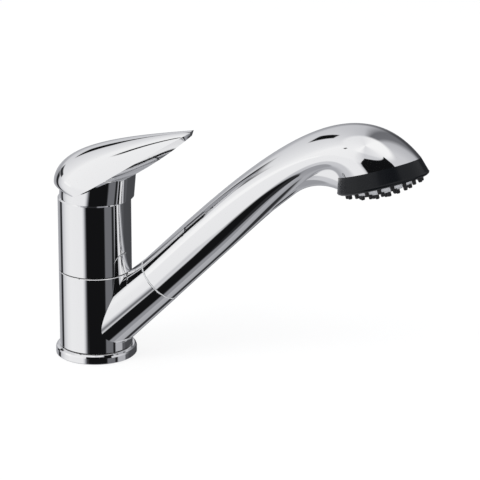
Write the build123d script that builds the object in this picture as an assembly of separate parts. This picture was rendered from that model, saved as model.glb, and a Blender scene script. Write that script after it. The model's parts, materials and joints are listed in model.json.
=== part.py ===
from build123d import *
from math import cos, radians, sin, sqrt, tan
import os

os.makedirs("parts", exist_ok=True)

# A single-lever deck mixer with a pull-out hand shower. Sizes are in millimetres.
# The origin is the centre of the base on the deck, +Z is up and +X points to the spray head.

# Clearances
fit = 0.05             # radial, round piece running in its hole
gap = 0.3              # between pieces that move past each other
wall_play = 0.1        # radial, piece seated in its own housing
edge = 0.5             # chamfer on visible turned edges

# Column
body_r = 22.0
flange_r = 24.5
flange_h = 5.4
sleeve_h = 47.6
body_h = 45.7
pivot_rise = 0.7       # lever pivot above the top of the body

# Core, the fixed column inside the swivelling sleeve
core_r = 17.6
core_front = 5.5       # flat front of the core, with the hose passage ahead of it
web_t = 2.5            # floor of the flange under the core
passage_r = 16.8       # round opening of the flange
seal_inner, seal_outer, seal_depth = 19.2, 22.4, 1.8
spigot_wall = 2.2
spigot_h = 10.0
pocket_rise = 8.4      # roof of the hollow above the mid joint
o_ring_r = 0.95
o_ring_sink = 0.3      # groove below the core's surface
o_ring_lift = 1.2      # groove above the end of the spigot

# Ports and fixings in the underside of the core
port_circle_r = 11.0
port_r = 4.5           # M10 x 1 thread, minor radius
port_depth = 12.0
way_r = 3.2            # waterways and cartridge ports
stud_r = 3.4           # M8 thread, minor radius
stud_depth = 22.0
stud_boss_r = 5.2
screw_r = 1.5
screw_head_r = 2.6
screw_l = 8.0
screw_x, screw_y = -13.1, 7.6

# Swivel bearings
sleeve_wall = 2.75
washer_r = 20.4
washer_t = 1.4
collar_h = 5.0
swivel_limit = 60.0
lug_half_angle = 9.0
lug_margin = 2.0
lug_depth = 2.2

# Handset socket, on an axis that rises from the column's axis at axis_z
axis_z = 10.3
rise_angle = 44.5
dock_u = 59.5          # docking face, along the axis
boss_r = 14.15
boss_root_u = 3.0
boss_root_r = 16.6     # in the upright plane
boss_root_w = 19.6     # across
boss_root_drop = 2.3   # root centre above the axis
boss_wall = 2.4
bush_wall = 1.9
bush_l = 18.0
ring_t = 1.0           # pale ring that shows between the socket and the handset

# Handset, in its own upright: local Z runs up the socket axis, local X to the spray side
hand_turn = -8.5       # the handset stands turned a little in its socket
hand_r = 13.9
neck_r = 12.85
hand_wall = 2.2
back_start, belly_start = 74.0, 51.0
head_x, head_z = 35.3, 158.3
spray_angle = 26.4
head_r = 24.54
elbow_r = 10.25
elbow_x = 3.2          # centre line, from the handset's axis
elbow_start = 103.0
elbow_lead = 20.0
elbow_bend_r = 38.0
elbow_turn = 64.0
spigot_r = 10.4
spigot_l = 18.0
plug_l = 12.0          # spigot inside the shell
dock_ring_u = 6.0      # seal below the docking face
dock_ring_t, dock_ring_sink = 1.8, 0.85
tube_r, tube_bore = 4.5, 3.2
valve_r, valve_l = 4.9, 9.0
nipple_r = 5.9
nipple_thread_r = 7.5
nipple_thread_l = 8.0
nipple_bore = 2.8
nipple_head_l = 9.0
nipple_hex_r, nipple_hex_l = 8.2, 2.0
nipple_ring_u = 10.2
nipple_ring_t, nipple_ring_sink = 1.4, 0.75

# Spray head, measured down the spray axis from the rim of the shell
ring_h = 8.1
ring_flare = 17.0
ring_lip = 2.3
ring_spigot_h = 2.0
ring_shoulder = 1.6    # level of the shoulder that the head seal rests on
throat_r = 20.34       # opening through the shoulder of the ring
face_r = 23.6
face_t = 1.6
face_drop = 10.0       # edge of the face below the rim
face_crown = 4.2
mat_t = 1.5
nozzle_rows = [(0.0, 1), (6.7, 6), (13.4, 12), (20.1, 18)]
nozzle_r, nozzle_tip_r = 1.45, 1.15
nozzle_stand = 2.7
nozzle_bore = 0.5
chamber_wall = 1.8
chamber_neck_r = 8.0
chamber_neck_h = 14.0
chamber_inlet = 9.0
stub_r = 6.2
tube_knee = 102.0
tube_bend_r = 60.0

# Cartridge, stacked down from the lever pivot
stem_reach = 12.5      # pivot to the ball at the stem's foot
ball_r = 3.0
carrier_over_ball = 1.5
carrier_h = 6.0
carrier_r = 10.5
disc_t = 3.5
disc_gap = 0.1
lower_disc_r = 14.4
cart_r = 17.5
cart_base_h = 6.0
cart_wall = 2.2
chamber_top = 9.5      # chamber roof below the pivot
shoulder_t = 2.5
cart_neck_r = 12.9
cart_neck_h = 4.0
seal_t = 1.2
turret_r = 10.4
turret_rise = 3.5      # turret above the pivot
pin_r = 1.5
nut_r = 18.9
nut_h = 4.2
nut_seat_depth = 9.3   # threaded part of the cavity
stem_side = 8.0
stem_top = 22.5
temperature_limit = 45.0
lift_limit = 20.0

# Dome cap and lever
dome_r = 21.0
dome_t = 1.7
dome_open_r = 14.5
hood_gap = 0.35
skirt_r = 22.5
skirt_x = 1.5
skirt_lean = 6.4
rear_rise = 4.0        # foot of the hood above the pivot
lever_tip_x = 62.8
tip_half_w = 2.8
tip_crest, tip_rim, tip_foot = 46.2, 45.6, 42.5
tip_slope = 4.0        # rise over run of the end face
socket_r = 8.0
socket_foot = 6.5
screw_rise = 17.0      # clamping screw, reached from the rear over the dome cap
grub_r, grub_l = 2.2, 3.5
key_r = 1.5
index_r = 2.4

# Levels worked out from the sizes above
sleeve_bottom = flange_h + gap
sleeve_top = sleeve_bottom + sleeve_h
body_bottom = sleeve_top + gap
body_top = body_bottom + body_h
pivot_z = body_top + pivot_rise
bore_r = body_r - sleeve_wall
ball_z = pivot_z - stem_reach
carrier_top = ball_z + carrier_over_ball
carrier_bottom = carrier_top - carrier_h
upper_disc_bottom = carrier_bottom - disc_t
lower_disc_top = upper_disc_bottom - disc_gap
lower_disc_bottom = lower_disc_top - disc_t
cavity_floor = lower_disc_bottom - cart_base_h
cavity_r = cart_r + wall_play
roof_z = pivot_z - chamber_top
shoulder_z = roof_z + shoulder_t
nut_bore_r = nut_r + wall_play
stem_lean = lift_limit / 2
plug_seat = sqrt((dome_r + hood_gap) ** 2 - (screw_rise - index_r) ** 2) + gap
bush_r = spigot_r + fit + bush_wall
rest_shift = -stem_reach * sin(radians(stem_lean))
quarter = 0.5523       # handle length of a quarter circle drawn as a cubic curve
skew = 0.005           # keeps an oval's axes in order where it is all but round

socket_axis = Vector(cos(radians(rise_angle)), 0, sin(radians(rise_angle)))
spray_side = Vector(sin(radians(rise_angle)), 0, -cos(radians(rise_angle)))
axis_foot = Vector(0, 0, axis_z)
dock_plane = Plane(origin=axis_foot + socket_axis * dock_u, x_dir=spray_side, z_dir=socket_axis)
head_down = Vector(cos(radians(spray_angle)), 0, -sin(radians(spray_angle)))
head_out = Vector(sin(radians(spray_angle)), 0, cos(radians(spray_angle)))
head_plane = Plane(origin=(head_x, 0, head_z), x_dir=head_out, z_dir=head_down)


def turned(points):
    """Solid of revolution about Z from (radius, height) points."""
    return revolve(make_face(Polyline(*[(r, 0, z) for r, z in points], close=True)), Axis.Z)


def disc(r, low, high, at=(0, 0)):
    """Upright cylinder between two levels."""
    return Pos(at[0], at[1], low) * extrude(Circle(r), high - low)


def tube(r, bore, low, high):
    """Upright tube between two levels."""
    return disc(r, low, high) - disc(bore, low - 1, high + 1)


def block(x, y, z):
    """Box between pairs of limits."""
    size = (x[1] - x[0], y[1] - y[0], z[1] - z[0])
    return Pos(sum(x) / 2, sum(y) / 2, sum(z) / 2) * Box(*size)


def save(shape, name):
    """Write one node."""
    shape = Compound(children=list(shape.solids())) if len(shape.solids()) > 1 else shape.solids()[0]
    shape.label = name
    export_step(shape, "parts/" + name + ".step")


def port_places():
    """Hot, mixed and cold ways, seen from above behind the hose passage."""
    return [(port_circle_r * cos(radians(a)), port_circle_r * sin(radians(a))) for a in (120, 180, 240)]


def core_section(r, front):
    """Round section with a flat front."""
    return Circle(r) & Pos((front - r) / 2, 0) * Rectangle(front + r, 2 * r)


# Fixed column

def base_flange():
    ring = turned([
        (passage_r, 0), (flange_r - edge, 0), (flange_r, edge), (flange_r, flange_h - 1.6),
        (flange_r - 0.4, flange_h - 0.6), (flange_r - 1.4, flange_h),
        (core_r + wall_play, flange_h), (core_r + wall_play, web_t), (passage_r, web_t),
    ])
    web = extrude(core_section(passage_r + 0.5, core_front), web_t)
    part = ring + web - tube(seal_outer, seal_inner, -1, seal_depth)
    for x, y in port_places():
        part -= disc(port_r + gap, -1, web_t + 1, (x, y))
    part -= disc(stud_boss_r + wall_play, -1, web_t + 1)
    for side in (1, -1):
        part -= disc(screw_r + wall_play, -1, web_t + 1, (screw_x, side * screw_y))
        part -= Pos(screw_x, side * screw_y, 0) * turned([(0, 0), (screw_head_r + wall_play, 0), (0, screw_head_r)])
    return part


def base_seal():
    return tube(seal_outer - wall_play, seal_inner + wall_play, 0, seal_depth)


def base_screws():
    screw = turned([
        (0, 0.2), (screw_head_r - 0.2, 0.2), (screw_r - wall_play, screw_head_r - screw_r + wall_play),
        (screw_r - wall_play, screw_l), (0, screw_l),
    ])
    return Compound(children=[Pos(screw_x, side * screw_y, 0) * screw for side in (1, -1)])


def mixer_body():
    spigot_bottom = body_bottom - spigot_h
    shell = turned([
        (0, body_bottom), (body_r - edge, body_bottom), (body_r, body_bottom + edge),
        (body_r, body_top - edge - 0.3), (body_r - edge - 0.3, body_top), (0, body_top),
    ])
    shell += disc(core_r, spigot_bottom, body_bottom)
    shell -= disc(core_r - spigot_wall, spigot_bottom - 1, body_bottom + pocket_rise)
    shell += Pos(0, 0, web_t) * extrude(core_section(core_r, core_front), body_bottom + pocket_rise - web_t)
    shell -= tube(core_r + 1, core_r - o_ring_sink, spigot_bottom + o_ring_lift,
                  spigot_bottom + o_ring_lift + 2 * (o_ring_r + fit))
    shell -= disc(cavity_r, cavity_floor, body_top + 1)
    shell -= disc(nut_bore_r, body_top - nut_seat_depth, body_top + 1)
    for x, y in port_places():
        shell -= disc(way_r, 0, cavity_floor + 1, (x, y))
        shell -= disc(port_r, 0, web_t + port_depth, (x, y))
    shell = shell + disc(stud_boss_r, 0, web_t) - disc(stud_r, -1, stud_depth)
    for side in (1, -1):
        shell -= disc(screw_r - wall_play, 0, screw_l + 1, (screw_x, side * screw_y))
    return shell


def swivel_o_ring():
    middle = core_r - o_ring_sink + o_ring_r
    height = body_bottom - spigot_h + o_ring_lift + o_ring_r + fit
    return Pos(0, 0, height) * Torus(middle, o_ring_r)


def bearing_ring():
    """Slide ring: a washer under the sleeve's end and a collar inside its bore."""
    inner = core_r + wall_play
    return tube(washer_r, inner, 0, washer_t) + tube(bore_r - fit, inner, 0, washer_t + collar_h)


def window_sector(half_angle, r):
    """Sector of a disc about +X."""
    reach = 2 * r
    y = reach * sin(radians(half_angle))
    x = reach * cos(radians(half_angle))
    return make_face(Polyline((0, 0), (x, -y), (reach, -y), (reach, y), (x, y), close=True))


def lower_bearing_ring():
    ring = Pos(0, 0, flange_h) * bearing_ring()
    half_angle = swivel_limit + lug_half_angle + lug_margin
    window = Pos(0, 0, flange_h + washer_t) * extrude(window_sector(half_angle, washer_r), collar_h + 1)
    return ring - window


def upper_bearing_ring():
    return Pos(0, 0, body_bottom) * Rot(180, 0, 0) * bearing_ring()


# Swivelling sleeve with the handset socket

def boss_section(u, semi_up, semi_side, drop):
    """Oval across the socket axis, shifted up from it by drop."""
    centre = axis_foot + socket_axis * u - spray_side * drop
    return Plane(origin=centre, x_dir=Vector(0, 1, 0), z_dir=socket_axis) * Ellipse(semi_side, semi_up)


def spout_sleeve():
    counterbore = washer_t - gap + fit
    top = sleeve_top
    mouth = dock_u - ring_t
    column = turned([
        (0, sleeve_bottom), (body_r - edge, sleeve_bottom), (body_r, sleeve_bottom + edge),
        (body_r, top - 2 * edge), (body_r - 2 * edge, top), (0, top),
    ])
    boss = loft([
        boss_section(boss_root_u, boss_root_r, boss_root_w, boss_root_drop),
        boss_section(mouth, boss_r - skew, boss_r, 0),
    ])
    part = column + boss
    part -= disc(bore_r, sleeve_bottom - 1, top + 1)
    part -= disc(washer_r + gap, sleeve_bottom - 1, sleeve_bottom + counterbore)
    part -= disc(washer_r + gap, top - counterbore, top + 1)
    bush_end = mouth - bush_l
    part -= loft([
        boss_section(boss_root_u, boss_root_r - boss_wall, boss_root_w - boss_wall, boss_root_drop),
        boss_section(bush_end + 1, bush_r - 1.1, bush_r - 1, 0),
    ]) & disc(3 * body_r, sleeve_bottom + counterbore + collar_h + 2, top)
    part -= Plane(origin=axis_foot, z_dir=socket_axis) * disc(bush_r + 0.02, bush_end, mouth + 5)
    part -= disc(3 * body_r, -body_r, sleeve_bottom)
    lug = window_sector(lug_half_angle, body_r) & (Circle(bore_r + 0.5) - Circle(bore_r - lug_depth))
    part += Pos(0, 0, sleeve_bottom + counterbore) * extrude(lug, collar_h - 0.4)
    return part


def socket_bush():
    bush = tube(bush_r, spigot_r + fit, -ring_t - bush_l, -ring_t)
    bush += tube(boss_r - 0.1, spigot_r + fit, -ring_t, 0)
    return dock_plane * bush


# Handset

def half_ring(back, belly, half_width, side):
    """Control points of half an oval, from the back line round one side to the belly line."""
    middle, half = (back + belly) / 2, (back - belly) / 2
    out = Vector(0, side * half_width, 0)
    return [back, back + out * quarter, middle + out + half * quarter, middle + out,
            middle + out - half * quarter, belly + out * quarter, belly]


def oval_skin(lines):
    """Side faces of an oval body that follows a back line, a belly line and half widths."""
    faces = []
    for side in (1, -1):
        rows = [half_ring(*control, side) for control in zip(*lines)]
        faces += [Face.make_bezier_surface([row[:4] for row in rows]),
                  Face.make_bezier_surface([row[3:] for row in rows])]
    return faces


def oval_cap(back, belly, half_width):
    """Flat oval end face."""
    arcs = []
    for side in (1, -1):
        row = half_ring(back, belly, half_width, side)
        arcs += [Edge.make_bezier(*row[:4]), Edge.make_bezier(*row[3:])]
    return Face(Wire(arcs))


def hand_body(inset, foot):
    """The handset, or the hollow in it: a tapered tube, then a fan that opens to the rim."""
    rim = Vector(head_x, 0, head_z)
    x = neck_r - inset
    back = [Vector(-x, 0, back_start), Vector(-x, 0, 158), Vector(9.3, 0, 177.4) - head_out * inset,
            rim + head_out * (head_r - inset)]
    belly = [Vector(x, 0, belly_start), Vector(x, 0, 82.2), Vector(14.4, 0, 130.5) + head_out * inset,
             rim - head_out * (head_r - inset)]
    widths = [w - inset for w in (neck_r, neck_r + 0.5, head_r + 2.5, head_r)]
    start = (Vector(inset - hand_r, 0, foot), Vector(hand_r - inset, 0, foot), hand_r - inset)
    lower = [(start[0], back[0]), (start[1], belly[0]), (start[2], widths[0])]
    skin = oval_skin(lower) + oval_skin((back, belly, widths))
    return Solid(Shell(skin + [oval_cap(*start), oval_cap(back[-1], belly[-1], widths[-1])]))


def elbow(inset):
    """Round root of the neck that wraps the inner side of the head."""
    root = Vector(elbow_x, 0, elbow_start - elbow_lead)
    corner = Vector(elbow_x, 0, elbow_start)
    sweep_x = elbow_bend_r * (1 - cos(radians(elbow_turn)))
    end = corner + Vector(sweep_x, 0, elbow_bend_r * sin(radians(elbow_turn)))
    path = Line(root, corner) + RadiusArc(corner, end, -elbow_bend_r)
    return sweep(Plane(origin=root, z_dir=(0, 0, 1)) * Circle(elbow_r - inset), path=path)


def ring_radius(drop):
    """Outer radius of the head ring at a distance below the rim."""
    return head_r + drop * tan(radians(ring_flare))


def handset_shell():
    ring_space = head_plane * turned([
        (0, 0), (ring_radius(0), 0), (ring_radius(2 * ring_h), 2 * ring_h), (0, 2 * ring_h),
    ])
    return hand_body(0, gap) + elbow(0) - hand_body(hand_wall, -1) - elbow(hand_wall) - ring_space


def docking_spigot():
    bore = valve_r + wall_play
    seat = nipple_r + fit
    inside = hand_r - hand_wall - 0.2
    body = turned([
        (spigot_r, -spigot_l), (spigot_r, gap), (inside, gap), (inside - 0.6, plug_l), (tube_r + wall_play, plug_l),
        (tube_r + wall_play, valve_l - 2), (bore, valve_l - 2), (bore, -2), (nipple_bore, -2), (nipple_bore, -4),
        (seat, -4), (seat, -spigot_l + 1.2), (seat + 0.4, -spigot_l),
    ])
    groove = dock_ring_t / 2 + wall_play
    return body - Pos(0, 0, -dock_ring_u) * tube(spigot_r + 1, spigot_r - dock_ring_sink - fit, -groove, groove)


def docking_o_ring():
    return Pos(0, 0, -dock_ring_u) * tube(spigot_r - fit, spigot_r - dock_ring_sink, -dock_ring_t / 2, dock_ring_t / 2)


def non_return_valve():
    body = tube(valve_r, valve_r - 1.2, -2, valve_l - 4)
    body += disc(2.2, -1.4, 2.6)
    for angle in (0, 120, 240):
        body += Rot(0, 0, angle) * block((0, valve_r - 0.6), (-0.5, 0.5), (-1.0, 0.6))
    return body


def hose_nipple():
    head_low = -spigot_l - gap
    hex_low = head_low - nipple_hex_l
    thread_low = hex_low - nipple_thread_l
    part = turned([
        (nipple_bore, thread_low), (nipple_thread_r - 0.6, thread_low), (nipple_thread_r, thread_low + 0.6),
        (nipple_thread_r, hex_low), (nipple_r, hex_low), (nipple_r, head_low + nipple_head_l),
        (nipple_r - 0.5, head_low + nipple_head_l + 0.5), (nipple_bore, head_low + nipple_head_l + 0.5),
    ])
    part += Pos(0, 0, hex_low) * extrude(RegularPolygon(nipple_hex_r, 6), nipple_hex_l) - disc(nipple_bore, -60, 0)
    groove = nipple_ring_t / 2 + wall_play
    return part - Pos(0, 0, -nipple_ring_u) * tube(nipple_r + 1, nipple_r - nipple_ring_sink - fit, -groove, groove)


def nipple_o_ring():
    half = nipple_ring_t / 2
    return Pos(0, 0, -nipple_ring_u) * tube(nipple_r - fit / 2, nipple_r - nipple_ring_sink, -half, half)


def tube_path():
    """Waterway from the spigot to the side inlet of the spray chamber."""
    inlet = Vector(head_x, 0, head_z) - head_down * chamber_inlet
    knee = Vector(0, 0, tube_knee)
    toward = (knee - inlet).normalized()
    return knee, inlet, toward


def water_tube():
    knee, inlet, toward = tube_path()
    start = Vector(0, 0, valve_l - 1.5)
    end = inlet + toward * (chamber_neck_r + 1.5)
    path = FilletPolyline(start, knee, end, radius=tube_bend_r)
    section = Plane(origin=start, z_dir=(0, 0, 1)) * (Circle(tube_r) - Circle(tube_bore))
    return sweep(section, path=path)


# Spray head, built down the spray axis

def spray_ring():
    low = ring_h + ring_lip
    inner = face_r + wall_play
    profile = Polyline(
        (ring_radius(0), 0), (ring_radius(ring_h), ring_h), (ring_radius(ring_h) + 0.35, ring_h + 0.7),
        (ring_radius(ring_h) - 0.15, low - 0.7), (ring_radius(ring_h) - 1.3, low), (inner + 0.4, low),
        (inner, low - 0.4), (inner, ring_shoulder), (throat_r, ring_shoulder), (throat_r, -ring_spigot_h),
        (throat_r + 0.4, -ring_spigot_h), (head_r - hand_wall - wall_play, 0), close=True,
    )
    return revolve(make_face(Plane.XZ * profile), Axis.Z)


def crown_sphere_r():
    """Radius of the sphere through the edge and the crown of the face."""
    return (face_r ** 2 + face_crown ** 2) / (2 * face_crown)


def crown_at(r):
    """Height of the crowned face at a radius, down the spray axis."""
    big = crown_sphere_r()
    return face_drop + face_crown - big + sqrt(big ** 2 - r ** 2)


def nozzle_places():
    places = []
    for row_r, count in nozzle_rows:
        for i in range(count):
            angle = radians(360 * i / count + 7 * row_r)
            places.append((row_r * cos(angle), row_r * sin(angle)))
    return places


def crowned_disc(r, top, thickness):
    """Disc with a crowned lower face and a matching hollow upper face."""
    big = crown_sphere_r()
    low = Pos(0, 0, face_drop + face_crown - big + top + thickness) * Sphere(big)
    high = Pos(0, 0, face_drop + face_crown - big + top) * Sphere(big)
    return (disc(r, 0, 30) & low) - high


def spray_face():
    face = crowned_disc(face_r, -face_t, face_t)
    holes = [Pos(x, y, 0) * Cylinder(nozzle_r + wall_play, 60) for x, y in nozzle_places()]
    return face - holes


def nozzle_mat():
    mat = crowned_disc(face_r - 0.3, -face_t - mat_t, mat_t)
    nozzles, bores = [], []
    for x, y in nozzle_places():
        low = crown_at(sqrt(x * x + y * y)) + nozzle_stand
        root = low - nozzle_stand - face_t - 0.7
        nozzles.append(Pos(x, y, (low + root) / 2) * Cone(nozzle_r, nozzle_tip_r, low - root))
        bores.append(Pos(x, y, 0) * Cylinder(nozzle_bore, 60))
    return mat + nozzles - bores


def spray_chamber():
    r = throat_r - wall_play
    floor = crown_at(r) - face_t - mat_t - 0.1
    neck, top = chamber_neck_r, -chamber_neck_h
    w = chamber_wall
    outer = turned([(0, floor), (r, floor), (r, -2.4), (neck + 3, -5), (neck, -8), (neck, top), (0, top)])
    inner = turned([
        (0, floor + 1), (r - w, floor + 1), (r - w, -2.4 + w), (neck + 3 - w, -5 + w), (neck - w, -8 + w),
        (neck - w, top + w), (0, top + w),
    ])
    knee, inlet, toward = tube_path()
    stub_plane = Plane(origin=inlet, z_dir=toward)
    stub = stub_plane * disc(stub_r, 0, chamber_neck_r + 9)
    bore = stub_plane * disc(tube_r + wall_play, chamber_neck_r + 1.5, chamber_neck_r + 12)
    way = stub_plane * disc(tube_bore, 0, chamber_neck_r + 2)
    return head_plane * outer + stub - head_plane * inner - bore - way


def head_seal():
    """Flat seal between the spray chamber and the ring's shoulder."""
    return Pos(0, 0, ring_shoulder + wall_play) * tube(throat_r + 2.5, throat_r, 0, seal_t)


# Cartridge

def cartridge_base():
    base = disc(cart_r - wall_play, cavity_floor, lower_disc_bottom)
    base += tube(cart_r - wall_play, lower_disc_r + wall_play, cavity_floor + 1, lower_disc_top - 0.8)
    for x, y in port_places():
        base -= disc(way_r, cavity_floor - 1, lower_disc_bottom + 1, (x, y))
        base -= disc(way_r + 1.4, cavity_floor - 1, cavity_floor + seal_t, (x, y))
    return base


def port_seals():
    ring = tube(way_r + 1.3, way_r + 0.1, cavity_floor, cavity_floor + seal_t)
    return Compound(children=[Pos(x, y, 0) * ring for x, y in port_places()])


def lower_disc():
    plate = disc(lower_disc_r, lower_disc_bottom, lower_disc_top)
    for x, y in port_places():
        plate -= disc(way_r - 0.4, lower_disc_bottom - 1, lower_disc_top + 1, (x, y))
    return plate


def upper_disc():
    plate = disc(carrier_r, upper_disc_bottom, carrier_bottom)
    chamber = extrude(SlotOverall(15, 7), 2.2)
    return Pos(rest_shift, 0, 0) * (plate - Pos(-1, 0, upper_disc_bottom - 0.01) * Rot(0, 0, 90) * chamber)


def disc_carrier():
    plate = disc(carrier_r, carrier_bottom, carrier_top)
    plate &= block((-carrier_r, carrier_r), (-8, 8), (carrier_bottom, carrier_top))
    plate -= disc(ball_r + gap, ball_z - ball_r - gap, carrier_top + 1)
    return Pos(rest_shift, 0, 0) * plate


def cartridge_housing():
    low = lower_disc_top - 0.8
    shoulder = cart_r - cart_wall
    neck_bore = turret_r + fit
    return turned([
        (shoulder, low), (cart_r, low), (cart_r, shoulder_z), (cart_neck_r, shoulder_z),
        (cart_neck_r, shoulder_z + cart_neck_h), (neck_bore, shoulder_z + cart_neck_h),
        (neck_bore, roof_z), (shoulder, roof_z),
    ])


def spindle_turret():
    flange_top = roof_z - gap / 3
    top = pivot_z + turret_rise
    flange_r = cart_r - cart_wall - gap
    part = disc(turret_r, carrier_top + gap, top) + disc(flange_r, carrier_top + gap, flange_top)
    cheeks = disc(flange_r, carrier_bottom + 0.4, flange_top)
    cheeks -= block((-20, 20), (-8 - gap, 8 + gap), (0, flange_top + 1))
    part += cheeks
    slot_y = stem_side / 2 + 0.25
    part -= block((-6.4, 6.4), (-slot_y, slot_y), (0, top + 1))
    return part - Pos(0, 0, pivot_z) * Rot(90, 0, 0) * Cylinder(pin_r, 4 * turret_r)


def pivot_pin():
    return Pos(0, 0, pivot_z) * Rot(90, 0, 0) * Cylinder(pin_r, 2 * turret_r - 1.2)


def cartridge_nut():
    ring = tube(nut_r, cart_neck_r + gap, shoulder_z, shoulder_z + nut_h)
    for angle in range(0, 360, 60):
        ring -= Rot(0, 0, angle) * block((nut_r - 3.4, nut_r - 1.2), (-1.5, 1.5), (shoulder_z + 1.6, shoulder_z + 9))
    return ring


def lever_stem():
    """Square stem on its cross pin, drawn upright and leant to its closed position."""
    half = stem_side / 2
    bar = block((-half, half), (-half, half), (-4.6, stem_top))
    bar += Pos(0, 0, -7.5) * Cylinder(2.4, 8)
    bar += Pos(0, 0, -stem_reach) * Sphere(ball_r)
    bar -= Rot(90, 0, 0) * Cylinder(pin_r + fit, 40)
    return Pos(0, 0, pivot_z) * Rot(0, stem_lean, 0) * bar


# Dome cap and lever

def dome_cap():
    ball = Sphere(dome_r) - Sphere(dome_r - dome_t)
    keep = disc(2 * dome_r, -pivot_rise, sqrt(dome_r ** 2 - dome_open_r ** 2))
    cap = (ball & keep) - disc(dome_open_r, 0, 2 * dome_r)
    spigot_low = shoulder_z + nut_h - pivot_z + 0.2
    cap += tube(nut_r, nut_r - 1.6, spigot_low, -pivot_rise)
    cap += tube(dome_r - 0.02, nut_r - 1.6, -pivot_rise, 0.4) & Sphere(dome_r)
    return Pos(0, 0, pivot_z) * cap


def lever_lines():
    """Crest line, rim line and foot line of the side wall, above the pivot."""
    end_x = lever_tip_x - (tip_crest - tip_rim) / tip_slope
    crest = [Vector(-26, 0, rear_rise), Vector(-19.5, 0, 22.8), Vector(-0.9, 0, 38.2),
             Vector(lever_tip_x, 0, tip_crest)]
    rim = [Vector(-9, 22, rear_rise), Vector(-0.4, 28.5, rear_rise), Vector(19.1, 19.6, 19.6),
           Vector(end_x, tip_half_w, tip_rim)]
    foot = [Vector(-8, 20, rear_rise), Vector(0.6, 21, rear_rise - 1.5), Vector(31.3, 3.8, 14.3),
            Vector(end_x - (tip_rim - tip_foot) / tip_slope, tip_half_w - 0.8, tip_foot)]
    return crest, rim, foot


def other_side(points):
    """The same line on the other side of the upright plane."""
    return [Vector(p.X, -p.Y, p.Z) for p in points]


def hood():
    """Arched top of the lever: an arch from rim to rim, shallow side walls and a flat underside."""
    crest, rim, foot = lever_lines()
    fullness = (0.72, 0.62, 0.5, 0.42)
    over = []
    for c, r, k in zip(crest, rim, fullness):
        base = Vector(r.X, 0, r.Z)
        top = base + (c - base) * 4 / 3
        over.append([r, top + Vector(0, k * r.Y, 0), top - Vector(0, k * r.Y, 0), Vector(r.X, -r.Y, r.Z)])
    faces = [
        Face.make_bezier_surface(over),
        Face.make_bezier_surface([list(pair) for pair in zip(rim, foot)]),
        Face.make_bezier_surface([list(pair) for pair in zip(other_side(rim), other_side(foot))]),
        Face.make_bezier_surface([list(pair) for pair in zip(foot, other_side(foot))]),
    ]
    for i in (0, 3):
        a, b = rim[i], foot[i]
        c, d = other_side([a, b])
        faces.append(Face(Wire([Edge.make_bezier(*over[i]), Edge.make_line(a, b), Edge.make_line(b, d),
                                Edge.make_line(d, c)])))
    return Solid(Shell(faces))


def skirt():
    """Leaning neck between the body and the rim of the hood."""
    crest, rim, foot = lever_lines()
    low = gap + 0.1 - pivot_rise
    flat = [Vector(p.X, 0, p.Z) for p in rim]
    over = Bezier(*flat)
    under = Polyline(flat[-1], (flat[-1].X, 0, low), (-40, 0, low), (-40, 0, rear_rise), flat[0])
    side = extrude(make_face(over + under), 40, both=True)
    lean = Vector(sin(radians(skirt_lean)), 0, cos(radians(skirt_lean)))
    neck = Pos(skirt_x, 0, low) * extrude(Circle(skirt_r), 60, dir=lean)
    wide = 3 * body_r
    swept = block((-wide, wide), (-wide, wide), (-wide, hood_gap - pivot_rise))
    return (neck & side) - Rot(0, lift_limit, 0) * swept


def lever():
    solid = hood() + skirt()
    solid -= Sphere(dome_r + hood_gap)
    body_below = disc(body_r + hood_gap, -60, -pivot_rise + hood_gap)
    solid -= Rot(0, lift_limit, 0) * body_below
    stem_axis = Rot(0, stem_lean, 0)
    solid += stem_axis * disc(socket_r, socket_foot, stem_top + 1)
    side = stem_side + 0.1
    solid -= stem_axis * block((-side / 2, side / 2), (-side / 2, side / 2), (0, stem_top + 0.2))
    solid -= rearward(disc(grub_r, 0, socket_r))
    solid -= rearward(disc(key_r, 0, plug_seat))
    solid -= rearward(disc(index_r, plug_seat, 3 * body_r))
    return Pos(0, 0, pivot_z) * solid


def rearward(shape):
    """Lay a piece that is built up Z along the clamping screw's axis, towards the rear."""
    return Pos(0, 0, screw_rise) * Rot(0, -90, 0) * shape


def lever_screw():
    """Grub screw that bears on the rear face of the stem."""
    lean = radians(stem_lean)
    start = stem_side / 2 / cos(lean) - (screw_rise - grub_r) * tan(lean) + 0.02
    screw = disc(grub_r - fit, start, start + grub_l)
    screw -= Pos(0, 0, start + grub_l - 2) * extrude(RegularPolygon(1.1, 6), 3)
    return Pos(0, 0, pivot_z) * rearward(screw)


def index_plug():
    """Cap over the key's way, flush with the lever's surface."""
    plug = rearward(disc(index_r - wall_play, plug_seat, 3 * body_r)) & hood()
    return Pos(0, 0, pivot_z) * plug


def in_hand(shape):
    """Place a handset piece, built up local Z, in its socket at its resting turn."""
    return dock_plane * (Rot(0, 0, hand_turn) * shape)


def in_head(shape):
    """Place a spray head piece, built down the spray axis."""
    return in_hand(head_plane * shape)


save(base_flange(), "base_flange")
save(base_seal(), "base_seal")
save(base_screws(), "base_screws")
save(mixer_body(), "mixer_body")
save(swivel_o_ring(), "swivel_o_ring")
save(lower_bearing_ring(), "lower_bearing_ring")
save(upper_bearing_ring(), "upper_bearing_ring")
save(cartridge_base(), "cartridge_base")
save(port_seals(), "port_seals")
save(lower_disc(), "lower_disc")
save(cartridge_housing(), "cartridge_housing")
save(cartridge_nut(), "cartridge_nut")
save(dome_cap(), "dome_cap")
save(spout_sleeve(), "spout_sleeve")
save(socket_bush(), "socket_bush")
save(dock_plane * hose_nipple(), "hose_nipple")
save(dock_plane * nipple_o_ring(), "nipple_o_ring")
save(in_hand(docking_spigot()), "docking_spigot")
save(in_hand(docking_o_ring()), "docking_o_ring")
save(in_hand(non_return_valve()), "non_return_valve")
save(in_hand(water_tube()), "water_tube")
save(in_hand(handset_shell()), "handset_shell")
save(in_head(spray_ring()), "spray_ring")
save(in_head(spray_face()), "spray_face")
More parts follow.
